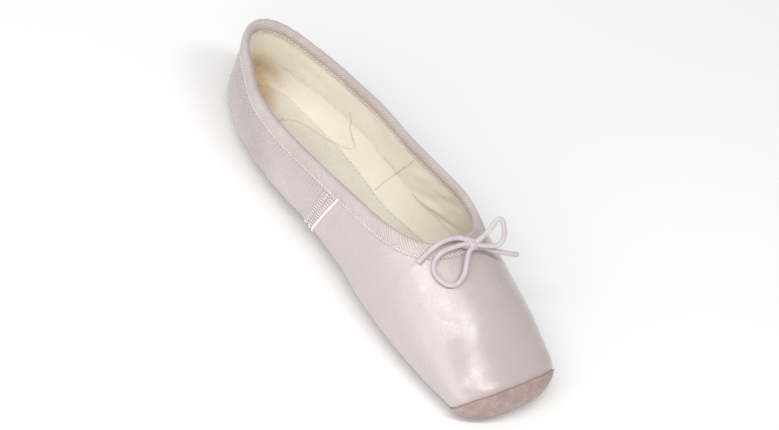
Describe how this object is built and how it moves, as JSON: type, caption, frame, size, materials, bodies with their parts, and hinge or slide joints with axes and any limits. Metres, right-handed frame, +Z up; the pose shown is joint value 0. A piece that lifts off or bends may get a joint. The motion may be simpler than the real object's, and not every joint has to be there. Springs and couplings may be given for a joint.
{
  "type": "pointe shoe",
  "caption": "Satin ballet pointe shoe with a suede toe tip, a leather outsole, a twill drawstring casing round the collar and a small bow at the throat.",
  "frame": {"origin": "on the ground under the middle of the shoe's box, measured without the bow", "axes": "+X to the toe, +Y to the wearer's left, +Z up"},
  "size_m": [0.2424, 0.0718, 0.0709],
  "materials": {
    "satin": "pale pink satin with a soft sheen",
    "sole_leather": "tan sole leather, smooth, with a darker burnished edge",
    "canvas": "cream cotton canvas",
    "suede": "dusty pink suede with a mottled nap",
    "twill_tape": "pink twill tape with a diagonal rib",
    "drawstring": "mauve pink round cotton drawstring"
  },
  "bodies": {
    "root": {"upper": "satin", "outsole": "sole_leather", "insole": "canvas", "toe_tip": "suede", "drawstring_casing": "twill_tape", "bow_knot": "drawstring", "bow_loop_left": "drawstring", "bow_loop_right": "drawstring", "bow_end_left": "drawstring", "bow_end_right": "drawstring"}
  },
  "joints": []
}
